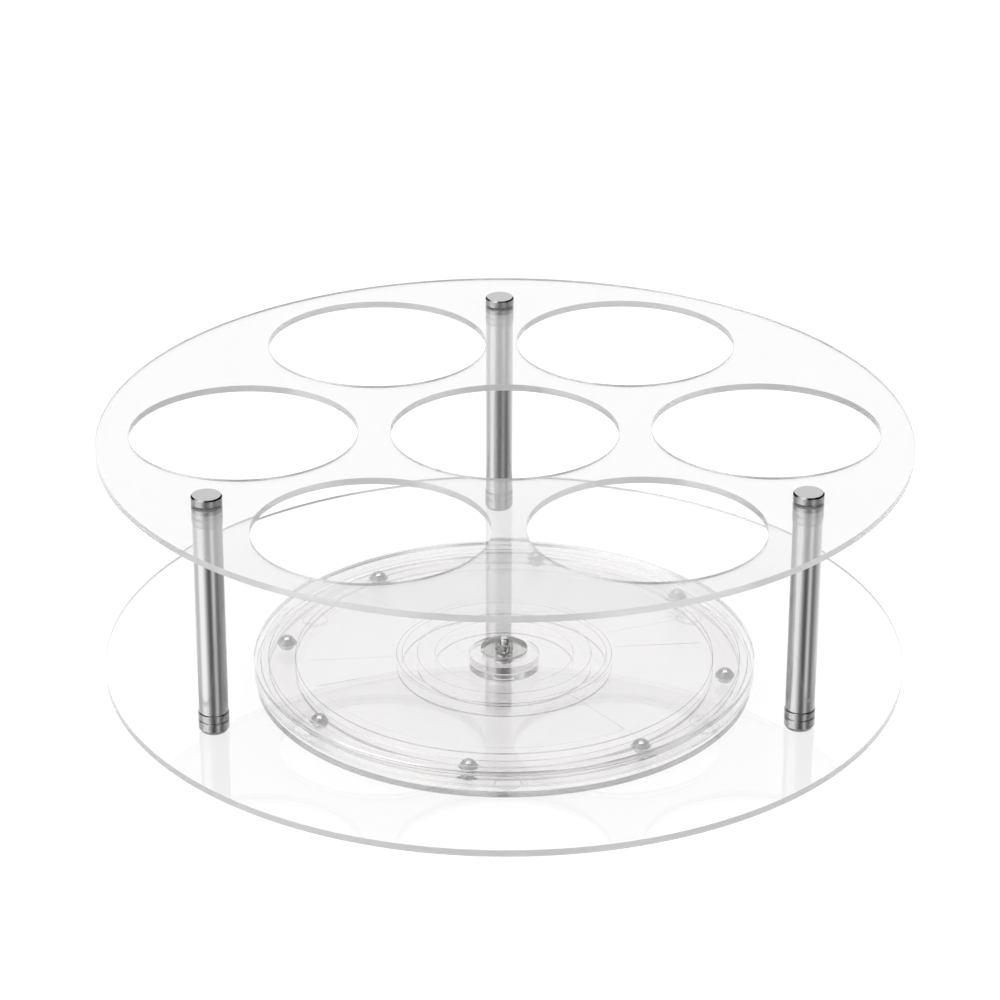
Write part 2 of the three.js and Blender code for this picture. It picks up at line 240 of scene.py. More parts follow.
def polished_turned_metal(settings):
    """Turned stainless, buffed bright: mirror-like, a little rougher where the buff dragged."""
    name = "Buffed turned stainless"
    material, tree, shader = bare_metal(name, settings.fitting_colour, 0.12)
    uneven_surface(tree, shader, 0.8 * MM, 0.002 * MM, 0.08, 0.18)
    return material


def zinc_plated_steel(settings):
    """Zinc-plated screw steel: a dull satin grey with a fine crystalline mottle."""
    material, tree, shader = bare_metal("Zinc-plated steel", settings.plated_colour, 0.35)
    uneven_surface(tree, shader, 0.7 * MM, 0.01 * MM, 0.28, 0.45)
    return material


def bearing_steel(settings):
    """Hardened chrome steel, lapped to a mirror, with a thin film of grease that softens it in
    patches."""
    material, tree, shader = bare_metal("Lapped bearing steel", settings.ball_colour, 0.07)
    uneven_surface(tree, shader, 2.5 * MM, 0.001 * MM, 0.04, 0.14)
    return material


def clear_rubber(settings):
    """Clear polyurethane bumper: soft, water-clear and not quite smooth."""
    name = "Clear polyurethane rubber"
    material, tree, shader = clear_plastic(name, settings.foot_colour, 1.5, 0.05)
    uneven_surface(tree, shader, 1.5 * MM, 0.004 * MM, 0.02, 0.1)
    return material


def painted_gap_shade(settings):
    """A near-black matt ring under each cap: painted shade for the dark gap between cap and deck.
    Its roughness wanders in patches.
    """
    inputs = {"Base Color": (*settings.gap_shade_colour, 1), "Roughness": 0.6}
    material, tree, shader = new_material("Black neoprene", inputs)
    uneven_surface(tree, shader, 0.5 * MM, 0.01 * MM, 0.5, 0.75)
    return material


# ---------------------------------------------------------------- modelling helpers


def pick(*pieces):
    """Selects only these objects and makes the first one active."""
    if bpy.context.mode != "OBJECT":
        bpy.ops.object.mode_set(mode="OBJECT")
    bpy.ops.object.select_all(action="DESELECT")
    for piece in pieces:
        piece.select_set(True)
    bpy.context.view_layer.objects.active = pieces[0]


def turned(name, profile, segments):
    """A body turned about Z from [radius, level] points that run round the outline. A profile that
    comes back to its first point is a ring, and any other is closed by flat ends."""
    bpy.ops.object.select_all(action="DESELECT")
    radius, level = profile[0]
    bpy.ops.mesh.primitive_circle_add(vertices=segments, radius=radius, location=(0, 0, level))
    piece = bpy.context.active_object
    piece.name = piece.data.name = name
    bpy.ops.object.mode_set(mode="EDIT")
    bpy.ops.mesh.select_all(action="SELECT")
    for next_radius, next_level in profile[1:]:
        bpy.ops.mesh.extrude_region_move(
            TRANSFORM_OT_translate={"value": (0, 0, next_level - level)}
        )
        if next_radius != radius:
            ratio = next_radius / radius
            bpy.ops.transform.resize(
                value=(ratio, ratio, 1), center_override=(0, 0, next_level)
            )
        radius, level = next_radius, next_level
    bpy.ops.mesh.select_all(action="SELECT")
    bpy.ops.mesh.remove_doubles(threshold=0.002 * MM)
    if profile[0] != profile[-1]:
        bpy.ops.mesh.fill_holes(sides=0)
        bpy.ops.mesh.select_all(action="SELECT")
    bpy.ops.mesh.normals_make_consistent(inside=False)
    bpy.ops.object.mode_set(mode="OBJECT")
    bpy.ops.object.transform_apply(location=True, rotation=True, scale=True)
    return piece


def rod(name, radius, low, high, segments):
    """A plain round body from low to high."""
    return turned(name, [(radius, low), (radius, high)], segments)


def ring_profile(inner, outer, low, high):
    """The outline of a plain ring."""
    return [(inner, low), (outer, low), (outer, high), (inner, high), (inner, low)]


def move(piece, x, y):
    pick(piece)
    bpy.ops.transform.translate(value=(x, y, 0))
    bpy.ops.object.transform_apply(location=True, rotation=True, scale=True)


def copied(piece, name):
    """A copy of the piece with its own mesh."""
    pick(piece)
    bpy.ops.object.duplicate()
    copy = bpy.context.active_object
    copy.name = copy.data.name = name
    return copy


def joined(pieces):
    pick(*pieces)
    if len(pieces) > 1:
        bpy.ops.object.join()
    return pieces[0]


def cut_out(piece, cutters):
    """Cuts all the cutters out of the piece, and removes them."""
    cutter = joined(cutters)
    pick(piece)
    modifier = piece.modifiers.new("Cut", "BOOLEAN")
    modifier.operation = "DIFFERENCE"
    modifier.solver = "MANIFOLD"
    modifier.object = cutter
    bpy.ops.object.modifier_apply(modifier=modifier.name)
    bpy.data.meshes.remove(cutter.data)


def ease_edges(piece, width, segments=1, from_angle=SMOOTH_BELOW):
    """Breaks every edge sharper than from_angle with a small chamfer or rounding."""
    pick(piece)
    modifier = piece.modifiers.new("Eased edges", "BEVEL")
    modifier.width = width
    modifier.segments = segments
    modifier.limit_method = "ANGLE"
    modifier.angle_limit = from_angle
    modifier.use_clamp_overlap = True
    bpy.ops.object.modifier_apply(modifier=modifier.name)


def smooth_by_angle(piece, angle=SMOOTH_BELOW):
    pick(piece)
    bpy.ops.object.shade_smooth_by_angle(angle=angle)


def even_shading(piece):
    """Keeps flat faces flat beside a rounded edge."""
    pick(piece)
    bpy.ops.object.shade_smooth()
    modifier = piece.modifiers.new("Even shading", "WEIGHTED_NORMAL")
    modifier.keep_sharp = True
    modifier.weight = 100
    bpy.ops.object.modifier_apply(modifier=modifier.name)


def finish_piece(piece, node, body, slot, *materials):
    """Gives the piece its materials, and has it stand for its CAD node on that node's body."""
    faces = piece.data.polygons
    which = [min(face.material_index, len(materials) - 1) for face in faces]
    piece.data.materials.clear()  # this also sets every face back to the first material
    for material in materials:
        piece.data.materials.append(material)
    faces.foreach_set("material_index", which)
    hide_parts(node)
    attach(piece, body)
    return piece


def middle(node):
    low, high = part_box(node)
    return (low + high) / 2


def numbered(stem):
    """The CAD nodes stem_1, stem_2 and so on, in order."""
    found = [name for name in frame["nodes"] if name.startswith(stem + "_")]
    return sorted(found, key=lambda name: int(name.rsplit("_", 1)[1]))


def place_like(piece, stem, piece_stem, body, slot, *materials):
    """Puts a copy of the piece, modelled about the Z axis, at each CAD node of that name."""
    nodes = numbered(stem)
    for node in nodes:
        number = node.rsplit("_", 1)[1]
        copy = copied(piece, f"{piece_stem}_{number}")
        centre = middle(node)
        move(copy, centre.x, centre.y)
        rides = body if body in frame["bodies"] else f"{body}_{number}"
        finish_piece(copy, node, rides, slot, *materials)
    bpy.data.meshes.remove(piece.data)


def edge_faces_second(piece):
    """Gives the piece's upright and chamfered faces its second material."""
    for face in piece.data.polygons:
        face.material_index = 0 if abs(face.normal.z) > 0.9 else 1


# ---------------------------------------------------------------- sizes and colours


def length(name, description, default):
    return bpy.props.FloatProperty(
        name=name, description=description, default=default * MM, min=0, unit="LENGTH", precision=4
    )


def colour(name, description, hex_colour):
    return bpy.props.FloatVectorProperty(
        name=name,
        description=description,
        default=srgb(hex_colour),
        size=3,
        min=0,
        max=1,
        subtype="COLOR",
    )


def amount(name, description, default, **limits):
    return bpy.props.FloatProperty(
        name=name, description=description, default=default, min=0, **limits
    )


def count(name, description, default, least=3):
    return bpy.props.IntProperty(name=name, description=description, default=default, min=least)


def angle(name, description, degrees):
    return bpy.props.FloatProperty(
        name=name, description=description, default=math.radians(degrees), subtype="ANGLE"
    )


class DeckSettings(bpy.types.PropertyGroup):
    """The two acrylic decks."""

    hole_radius: length("Cup hole radius", "Radius of each of the seven holes", 50)
    hole_web: length("Web between holes", "Narrowest sheet between two cup holes", 14)
    holes_around: count("Holes around", "Cup holes round the middle one", 6)
    stud_hole_radius: length("Stud hole radius", "Holes for the posts' studs and screws", 3.3)
    countersink_radius: length("Countersink radius", "Wide end of a foot screw's hole", 5.7)
    countersink_depth: length("Countersink depth", "Depth of a foot screw's cone", 2.4)
    axle_hole_radius: length("Axle hole radius", "Hole in the middle of the lower deck", 10.5)
    edge_break: length("Edge break", "Chamfer along every cut edge", 0.25)
    depth_tint: amount("Depth tint", "Absorption per metre inside the sheet", 1.5)
    # These make part of each sheet matt white: painted light, a veil standing in for the bright
    # reflections on the sheet.
    upper_painted_veil: amount("Upper haze", "White haze in the upper sheet", 0.15, max=1)
    lower_painted_veil: amount("Lower haze", "White haze in the lower sheet", 0.03, max=1)
    sheet_colour: colour("Sheet", "Tint of the sheet's faces", "#FDFDFD")
    # The cut edges are partly matt in this colour: painted reflection, a grey outline standing in
    # for the surroundings that a clear edge shows.
    edge_colour: colour("Cut edge", "Tint of the cut edges", "#F5F5F5")
    rim_segments: count("Rim segments", "Facets round a deck", 256)
    hole_segments: count("Hole segments", "Facets round a cup hole", 128)


class PostSettings(bpy.types.PropertyGroup):
    """The three posts."""

    tube_break: length("Tube edge break", "Chamfer at each end of a tube", 0.35)
    ring_length: length("Ring length", "Part of a collar between its groove and the tube", 2.9)
    groove_width: length("Groove width", "Width of a collar's groove", 0.7)
    groove_depth: length("Groove depth", "Depth of a collar's groove", 0.6)
    cap_height: length("Cap height", "Height of a cap above the deck", 3.4)
    cap_chamfer: length("Cap chamfer", "Chamfer round a cap's top", 0.6)
    # The ring of this height under each cap is painted near-black: painted shade for the gap
    # between cap and deck.
    shade_ring: length("Gasket", "Thickness of the gasket under a cap", 0.25)
    bore_radius: length("Bore radius", "Bore of tubes and collars", 3.3)
    stud_radius: length("Stud radius", "Radius of studs and foot screws", 3.0)
    thread_pitch: length("Thread pitch", "Distance between threads", 1.0)
    thread_depth: length("Thread depth", "Depth of a thread", 0.45)
    head_depth: length("Screw head depth", "Depth of a countersunk head", 2.4)
    socket_radius: length("Socket radius", "Corner radius of the hexagon socket", 2.3)
    socket_depth: length("Socket depth", "Depth of the hexagon socket", 1.5)
    metal_colour: colour("Tube metal", "Colour of the tubes", "#D0D0D0")
    fitting_colour: colour("Fitting metal", "Colour of caps and collars", "#BEBEBE")
    # Near-black: painted shade in the gap under each cap.
    gap_shade_colour: colour("Gasket", "Colour of the gaskets", "#161616")
    plated_colour: colour("Plated steel", "Colour of screws", "#E2E3E4")
    segments: count("Segments", "Facets round a post", 96)


class BearingSettings(bpy.types.PropertyGroup):
    """The clear moulded turntable with its cage and balls."""

    race_width: length("Race width", "Width of the flat channel that the balls run in", 12)
    race_gap: length("Race gap", "From a ball to the channel above or below it", 0.3)
    hub_gap: length("Hub gap", "From the ball level to either hub", 0.3)
    rotor_plate: length("Rotor plate", "Thickness of the rotor's plate", 2.7)
    stator_plate: length("Stator plate", "Thickness of the stator's plate", 2.9)
    skirt_wall: length("Skirt wall", "Thickness of the rotor's skirt", 3)
    pocket_inner: length("Pocket inner radius", "Where the pockets between spokes start", 50)
    pocket_outer: length("Pocket outer radius", "Where the pockets between spokes end", 88.5)
    pocket_depth: length("Pocket depth", "Depth of the recesses between spokes", 0.2)
    pockets: count("Pockets", "Pockets round the disc", 6)
    spoke: angle("Spoke", "Angle that each spoke takes", 16)
    first_spoke: angle("First spoke", "Where the first spoke stands", 13)
    rib_inner: length("Rib inner radius", "Inside of the stiffening rib", 45.8)
    rib_outer: length("Rib outer radius", "Outside of the stiffening rib", 48.2)
    rib_height: length("Rib height", "Height of the stiffening rib", 0.6)
    pad_inner: length("Pad inner radius", "Inside of the pad ring", 31)
    pad_outer: length("Pad outer radius", "Outside of the pad ring", 39)
    pad_height: length("Pad height", "Height of the pad ring", 0.4)
    hub_radius: length("Hub radius", "Radius of the hub", 15.6)
    ball_clearance: length("Ball clearance", "Round a ball in its hole in the cage", 0.3)
    edge_break: length("Edge break", "Rounding of moulded edges", 0.15)
    depth_tint: amount("Depth tint", "Absorption per metre inside the moulding", 2.5)
    moulding_colour: colour("Moulding", "Tint of the clear moulding", "#FBFAFA")
    ball_colour: colour("Balls", "Colour of the bearing balls", "#9A9B9D")
    segments: count("Segments", "Facets round a race disc", 192)


class PivotSettings(bpy.types.PropertyGroup):
    """The pivot in the middle, and the feet."""

    screw_radius: length("Screw radius", "Radius of the pivot screw", 2)
    head_radius: length("Head radius", "Radius of the pivot screw's head", 4.2)
    head_height: length("Head height", "Height of the pivot screw's head", 1.6)
    bore_radius: length("Bore radius", "Bore of sleeve, washer and nut", 2.3)
    thread_pitch: length("Thread pitch", "Distance between threads", 0.7)
    thread_depth: length("Thread depth", "Depth of a thread", 0.3)
    thread_length: length("Thread length", "Threaded part of the screw", 9)
    nylon_colour: colour("Nylon", "Colour of sleeve, washer and nut", "#F3F3F2")
    foot_colour: colour("Feet", "Colour of the rubber feet", "#F6F6F6")
    foot_round: length("Foot rounding", "Rounding of a foot's lower edge", 0.5)
    segments: count("Segments", "Facets round the pivot's pieces", 64)


class StageSettings(bpy.types.PropertyGroup):
    """Floor, light and camera."""

    floor_size: length("Floor size", "Width of the pale floor", 12000)
    floor_colour: colour("Floor", "Colour of the opal table top", "#8C8C8C")
    softbox_light: amount("Softbox light", "Brightness of the rear softbox", 1.35)
    lamp_light: amount("Lamp light", "Brightness of the small lamp overhead", 6.0)
    table_light: amount("Table light", "Light that comes up through the floor", 0.93)
    dome_light: amount("Dome light", "Strength of the soft light on everything", 1.0)
    edge_evenness: amount(
        "Edge evenness", "How even the light inside the clear edges is", 0.8, max=1
    )
    edge_light: amount("Edge light", "Light that clear edges have gathered", 0.95)
    azimuth: angle("Azimuth", "Camera's angle round the rack", -1.0821)
    elevation: angle("Elevation", "Camera's height as an angle", 24.1807)
    distance: length("Distance", "From the camera to the middle of the upper deck", 1607.4)
    aim_left: angle("Aim left", "How far the camera aims left of that middle", 0.0732)
    aim_down: angle("Aim down", "How far the camera aims below that middle", 1.0866)
    roll: angle("Roll", "How far the camera is rolled", 0.2145)
    lens: length("Lens", "Focal length", 132.67)
    sensor: length("Sensor", "Sensor width", 36)


# ---------------------------------------------------------------- decks


def cup_places(settings):
    pitch = 2 * settings.hole_radius + settings.hole_web
    turn = 2 * math.pi / settings.holes_around
    ring = [
        (pitch * math.cos(i * turn), pitch * math.sin(i * turn))
        for i in range(settings.holes_around)
    ]
    return [(0, 0), *ring]


def post_places():
    return [(middle(node).x, middle(node).y) for node in numbered("post_tube")]


def finish_deck(deck, settings, node, painted_veil):
    ease_edges(deck, settings.edge_break)
    smooth_by_angle(deck)
    edge_faces_second(deck)
    finish_piece(
        deck,
        node,
        "rack",
        "clear_acrylic",
        cast_acrylic(settings, painted_veil),
        cut_edge_painted_grey(settings),
    )


class RACK_OT_upper_deck(bpy.types.Operator):
    """Cut the upper deck with its seven cup holes and three stud holes"""

    bl_idname = "rack.upper_deck"
    bl_label = "Upper Deck"

    def execute(self, context):
        settings = context.scene.rack_decks
        low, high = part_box("upper_deck")
        deck = rod("upper_deck_sheet", high.x, low.z, high.z, settings.rim_segments)
        below, above = low.z - OVERSHOOT, high.z + OVERSHOOT
        cutters = []
        for x, y in cup_places(settings):
            cutters.append(rod("hole", settings.hole_radius, below, above, settings.hole_segments))
            move(cutters[-1], x, y)
        for x, y in post_places():
            radius = settings.stud_hole_radius
            cutters.append(rod("stud hole", radius, below, above, SMALL_HOLE_SEGMENTS))
            move(cutters[-1], x, y)
        cut_out(deck, cutters)
        finish_deck(deck, settings, "upper_deck", settings.upper_painted_veil)
        return {"FINISHED"}


class RACK_OT_lower_deck(bpy.types.Operator):
    """Cut the plain lower deck with its axle hole and countersunk screw holes"""

    bl_idname = "rack.lower_deck"
    bl_label = "Lower Deck"

    def execute(self, context):
        settings = context.scene.rack_decks
        low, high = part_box("lower_deck")
        deck = rod("lower_deck_sheet", high.x, low.z, high.z, settings.rim_segments)
        below, above = low.z - OVERSHOOT, high.z + OVERSHOOT
        radius = settings.axle_hole_radius
        cutters = [rod("axle hole", radius, below, above, AXLE_HOLE_SEGMENTS)]
        narrow, wide = settings.stud_hole_radius, settings.countersink_radius
        slope = (wide - narrow) / settings.countersink_depth
        cone = [
            (wide + slope * OVERSHOOT, below),
            (narrow, low.z + settings.countersink_depth),
            (narrow, above),
        ]
        for x, y in post_places():
            cutters.append(turned("countersink", cone, SMALL_HOLE_SEGMENTS))
            move(cutters[-1], x, y)
        cut_out(deck, cutters)
        finish_deck(deck, settings, "lower_deck", settings.lower_painted_veil)
        return {"FINISHED"}


# ---------------------------------------------------------------- posts


class RACK_OT_post_tubes(bpy.types.Operator):
    """Turn the three metal tubes that carry the upper deck"""

    bl_idname = "rack.post_tubes"
    bl_label = "Post Tubes"

    def execute(self, context):
        settings = context.scene.rack_posts
        low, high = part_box("post_tube_1")
        radius = (high.x - low.x) / 2
        profile = ring_profile(settings.bore_radius, radius, low.z, high.z)
        tube = turned("tube", profile, settings.segments)
        ease_edges(tube, settings.tube_break, 3)
        even_shading(tube)
        metal = brushed_tube_metal(settings)
        place_like(tube, "post_tube", "brushed_tube", "rack", "polished_metal", metal)
        return {"FINISHED"}


class RACK_OT_post_collars(bpy.types.Operator):
    """Turn the grooved collars between the tubes and the decks"""

    bl_idname = "rack.post_collars"
    bl_label = "Post Collars"

    def execute(self, context):
        settings = context.scene.rack_posts
        metal = polished_turned_metal(settings)
        for where, towards_tube in (("lower", 1), ("upper", -1)):
            low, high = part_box(f"post_{where}_collar_1")
            seat, tube_end = (low.z, high.z) if towards_tube > 0 else (high.z, low.z)
            radius = (high.x - low.x) / 2
            groove_end = tube_end - towards_tube * settings.ring_length
            groove_start = groove_end - towards_tube * settings.groove_width
            floor = radius - settings.groove_depth
            bore = settings.bore_radius
            profile = [
                (bore, seat),
                (radius, seat),
                (radius, groove_start),
                (floor, groove_start),
                (floor, groove_end),
                (radius, groove_end),
                (radius, tube_end),
                (bore, tube_end),
                (bore, seat),
            ]
            collar = turned("collar", profile, settings.segments)
            ease_edges(collar, width=0.2 * MM, segments=3)
            even_shading(collar)
            place_like(
                collar,
                f"post_{where}_collar",
                f"{where}_collar_ring",
                "rack",
                "polished_metal",
                metal,
            )
        return {"FINISHED"}


def thread(radius, start, end, pitch, depth):
    """[radius, level] points of a thread's flanks and crests, from level start up to end. The
    thread is drawn as rings, which at this pitch look the same as a helix."""
    turns = int((end - start) / pitch)
    flank_foot, crest_start, crest_end, next_foot = 0.06, 0.45, 0.57, 0.94  # parts of the pitch
    points = []
    for i in range(turns):
        level = start + i * pitch
        points += [
            (radius - depth, level + flank_foot * pitch),
            (radius, level + crest_start * pitch),
            (radius, level + crest_end * pitch),
            (radius - depth, level + next_foot * pitch),
        ]
    return points


class RACK_OT_post_caps(bpy.types.Operator):
    """Turn the caps on the upper deck, each with the threaded stud that reaches into its tube"""

    bl_idname = "rack.post_caps"
    bl_label = "Post Caps"

    def execute(self, context):
        settings = context.scene.rack_posts
        low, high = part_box("post_cap_1")
        radius = (high.x - low.x) / 2
        seat = high.z - settings.cap_height
        stud = settings.stud_radius
        chamfer = settings.cap_chamfer
        neck = seat - 5 * MM  # plain shank that passes the deck
        under = seat - settings.shade_ring
        inset = radius - settings.shade_ring
        nearly = 0.01 * MM
        profile = [
            (stud - settings.thread_depth, low.z),
            *thread(stud, low.z, neck, settings.thread_pitch, settings.thread_depth),
            (stud, neck),
            (stud, under),
            (inset, under),
            (inset, seat),
            (radius, seat),
            (radius, high.z - chamfer),
            (radius - chamfer, high.z),
        ]
        cap = turned("cap", profile, settings.segments)
        smooth_by_angle(cap)
        # The narrow ring under the cap gets the second material, near-black: painted shade for the
        # gap between cap and deck.
        for face in cap.data.polygons:
            out = Vector(face.center.xy).length
            in_shade_ring = under - nearly < face.center.z < seat - nearly
            face.material_index = 1 if in_shade_ring and out > stud + nearly else 0
        metal = polished_turned_metal(settings)
        # This material is painted shade: the near-black ring in the gap under the cap.
        rubber = painted_gap_shade(settings)
        place_like(cap, "post_cap", "turned_cap", "rack", "polished_metal", metal, rubber)
        return {"FINISHED"}


class RACK_OT_foot_screws(bpy.types.Operator):
    """Turn the countersunk screws that hold the posts from below"""

    bl_idname = "rack.foot_screws"
    bl_label = "Foot Screws"

    def execute(self, context):
        settings = context.scene.rack_posts
        low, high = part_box("post_foot_screw_1")
        head_radius = (high.x - low.x) / 2
        radius = settings.stud_radius
        head_top = low.z + settings.head_depth
        profile = [
            (head_radius - 0.4 * MM, low.z),
            (head_radius, low.z + 0.1 * MM),
            (radius, head_top),
            *thread(radius, head_top, high.z, settings.thread_pitch, settings.thread_depth),
            (radius - settings.thread_depth, high.z),
        ]
        screw = turned("screw", profile, SCREW_SEGMENTS)
        below, socket_top = low.z - OVERSHOOT, low.z + settings.socket_depth
        cut_out(screw, [rod("socket", settings.socket_radius, below, socket_top, HEXAGON)])
        smooth_by_angle(screw)
        steel = zinc_plated_steel(settings)
        place_like(screw, "post_foot_screw", "countersunk_screw", "rack", "plated_steel", steel)
        return {"FINISHED"}


# ---------------------------------------------------------------- turntable


def race_face(settings, bore, face, side):
    """The side of a race disc that looks at the balls, from the bore out to the far side of the
    flat channel that the balls run in."""
    ball = middle("bearing_ball_1")
    low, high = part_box("bearing_ball_1")
    circle = math.hypot(ball.x, ball.y)
    hub = ball.z + side * settings.hub_gap
    pad = face - side * settings.pad_height
    rib = face - side * settings.rib_height
    channel = ball.z + side * ((high.z - low.z) / 2 + settings.race_gap)
    race_inner = circle - settings.race_width / 2
    race_outer = circle + settings.race_width / 2
    return [
        (bore, hub),
        (settings.hub_radius, hub),
        (settings.hub_radius, face),
        (settings.pad_inner, face),
        (settings.pad_inner, pad),
        (settings.pad_outer, pad),
        (settings.pad_outer, face),
        (settings.rib_inner, face),
        (settings.rib_inner, rib),
        (settings.rib_outer, rib),
        (settings.rib_outer, face),
        (race_inner, face),
        (race_inner, channel),
        (race_outer, channel),
        (race_outer, face),
    ]


def pocket_cutters(settings, low, high):
    """Wedges, one for each pocket between two spokes."""
    profile = ring_profile(settings.pocket_inner, settings.pocket_outer, low, high)
    wedge = turned("pocket", profile, POCKET_SEGMENTS)
    half = (2 * math.pi / settings.pockets - settings.spoke) / 2
    bpy.ops.object.mode_set(mode="EDIT")
    # The ring is cut down to the part between two planes through the axis, and closed again.
    for turn in (-half, half):
        bpy.ops.mesh.select_all(action="SELECT")
        keep = math.copysign(1, turn)
        bpy.ops.mesh.bisect(
            plane_co=(0, 0, 0),
            plane_no=(-math.sin(turn) * keep, math.cos(turn) * keep, 0),
            use_fill=False,
            clear_outer=True,
        )
    bpy.ops.mesh.select_all(action="SELECT")
    bpy.ops.mesh.remove_doubles(threshold=0.001 * MM)
    bpy.ops.mesh.fill_holes(sides=0)
    bpy.ops.mesh.select_all(action="SELECT")
    bpy.ops.mesh.normals_make_consistent(inside=False)
    bpy.ops.object.mode_set(mode="OBJECT")
    step = 2 * math.pi / settings.pockets
    first = settings.first_spoke + step / 2
    wedges = []
    for i in range(settings.pockets):
        copy = copied(wedge, "pocket cut")
        copy.rotation_euler.z = first + i * step
        bpy.ops.object.transform_apply(location=True, rotation=True, scale=True)
        wedges.append(copy)
    bpy.data.meshes.remove(wedge.data)
    return wedges


class RACK_OT_rotor(bpy.types.Operator):
    """Mould the upper race disc, which turns with the decks"""

    bl_idname = "rack.rotor"
    bl_label = "Turntable Rotor"

    def execute(self, context):
        settings = context.scene.rack_bearing
        low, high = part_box("turntable_rotor")
        sleeve_low, sleeve_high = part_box("pivot_bushing")
        bore = (sleeve_high.x - sleeve_low.x) / 2 + RUNNING_GAP
        face = high.z - settings.rotor_plate
        edge = high.x
        skirt = edge - settings.skirt_wall
        profile = [
            *race_face(settings, bore, face, 1),
            (skirt, face),
            (skirt, low.z),
            (edge, low.z),
            (edge, high.z),
            (bore, high.z),
        ]
        disc = turned("rotor_disc", profile + profile[:1], settings.segments)
        ease_edges(disc, settings.edge_break, 2, MOULDED_CORNER)
        # The pockets keep the sharp edges that the mould's inserts leave.
        pocket_top = face + settings.pocket_depth
        cut_out(disc, pocket_cutters(settings, face - OVERSHOOT, pocket_top))
        smooth_by_angle(disc)
        styrene = moulded_styrene(settings)
        finish_piece(disc, "turntable_rotor", "rack", "clear_moulding", styrene)
        return {"FINISHED"}


class RACK_OT_stator(bpy.types.Operator):
    """Mould the lower race disc, which stands on the feet"""

    bl_idname = "rack.stator"
    bl_label = "Turntable Stator"

    def execute(self, context):
        settings = context.scene.rack_bearing
        pivot = context.scene.rack_pivot
        low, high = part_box("turntable_stator")
        face = low.z + settings.stator_plate
        recess = pivot.head_radius + RUNNING_GAP
        recess_top = low.z + pivot.head_height + HEAD_ROOM
        outside_in = race_face(settings, pivot.bore_radius, face, -1)[::-1]
        profile = [
            (recess, low.z),
            (high.x, low.z),
            (high.x, face),
            *outside_in,
            (pivot.bore_radius, recess_top),
            (recess, recess_top),
        ]
        disc = turned("stator_disc", profile + profile[:1], settings.segments)
        ease_edges(disc, settings.edge_break, 2, MOULDED_CORNER)
        smooth_by_angle(disc)
        styrene = moulded_styrene(settings)
        finish_piece(disc, "turntable_stator", "base", "clear_moulding", styrene)
        return {"FINISHED"}


class RACK_OT_cage(bpy.types.Operator):
    """Mould the flat ring that keeps the balls apart"""

    bl_idname = "rack.cage"
    bl_label = "Ball Cage"

    def execute(self, context):
        settings = context.scene.rack_bearing
        low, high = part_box("ball_cage")
        ball_low, ball_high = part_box("bearing_ball_1")
        seat = (ball_high.x - ball_low.x) / 2 + settings.ball_clearance
        profile = ring_profile(high.x - settings.race_width, high.x, low.z, high.z)
        ring = turned("cage_ring", profile, settings.segments)
        below, above = low.z - OVERSHOOT, high.z + OVERSHOOT
        cutters = []
        for node in numbered("bearing_ball"):
            cutters.append(rod("seat", seat, below, above, SCREW_SEGMENTS))
            move(cutters[-1], middle(node).x, middle(node).y)
        cut_out(ring, cutters)
        ease_edges(ring, width=0.15 * MM)
        smooth_by_angle(ring)
        styrene = moulded_styrene(settings)
        finish_piece(ring, "ball_cage", "cage", "clear_moulding", styrene)
        return {"FINISHED"}


class RACK_OT_balls(bpy.types.Operator):
    """Lap the eight steel balls"""

    bl_idname = "rack.balls"
    bl_label = "Bearing Balls"

    def execute(self, context):
        settings = context.scene.rack_bearing
        low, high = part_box("bearing_ball_1")
        radius = (high.z - low.z) / 2
        bpy.ops.object.select_all(action="DESELECT")
        bpy.ops.mesh.primitive_cube_add(size=2 * radius, location=(0, 0, 0))
        ball = bpy.context.active_object
        bpy.ops.object.mode_set(mode="EDIT")
        bpy.ops.mesh.select_all(action="SELECT")
        bpy.ops.mesh.subdivide(number_cuts=11)
        bpy.ops.object.mode_set(mode="OBJECT")
        rounding = ball.modifiers.new("Round", "CAST")
        rounding.cast_type = "SPHERE"
        rounding.factor = 1
        rounding.use_radius_as_size = False
        rounding.size = radius
        bpy.ops.object.modifier_apply(modifier=rounding.name)
        bpy.ops.object.shade_smooth()
        bpy.ops.transform.translate(value=(0, 0, (low.z + high.z) / 2))
        bpy.ops.object.transform_apply(location=True, rotation=True, scale=True)
        steel = bearing_steel(settings)
        place_like(ball, "bearing_ball", "steel_ball", "ball", "ball_steel", steel)
        return {"FINISHED"}


# ---------------------------------------------------------------- pivot and feet


class RACK_OT_pivot_screw(bpy.types.Operator):
    """Turn the pivot screw with its head, socket and threaded tip"""

    bl_idname = "rack.pivot_screw"
    bl_label = "Pivot Screw"

    def execute(self, context):
        settings = context.scene.rack_pivot
        low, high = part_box("pivot_screw")
        radius = settings.screw_radius
        head_top = low.z + settings.head_height
        thread_start = high.z - settings.thread_length
        tip = radius - settings.thread_depth - 0.2 * MM
        profile = [
            (settings.head_radius - 0.3 * MM, low.z),
            (settings.head_radius, low.z + 0.3 * MM),
            (settings.head_radius, head_top),
            (radius, head_top),
            (radius, thread_start),
            *thread(
                radius,
                thread_start,
                high.z - 0.5 * MM,
                settings.thread_pitch,
                settings.thread_depth,
            ),
            (tip, high.z),
        ]
        screw = turned("axle_screw", profile, settings.segments)
        socket_radius, socket_top = 1.7 * MM, low.z + 1 * MM
        cut_out(screw, [rod("socket", socket_radius, low.z - OVERSHOOT, socket_top, HEXAGON)])
        smooth_by_angle(screw)
        steel = zinc_plated_steel(context.scene.rack_posts)
        finish_piece(screw, "pivot_screw", "base", "plated_steel", steel)
        return {"FINISHED"}


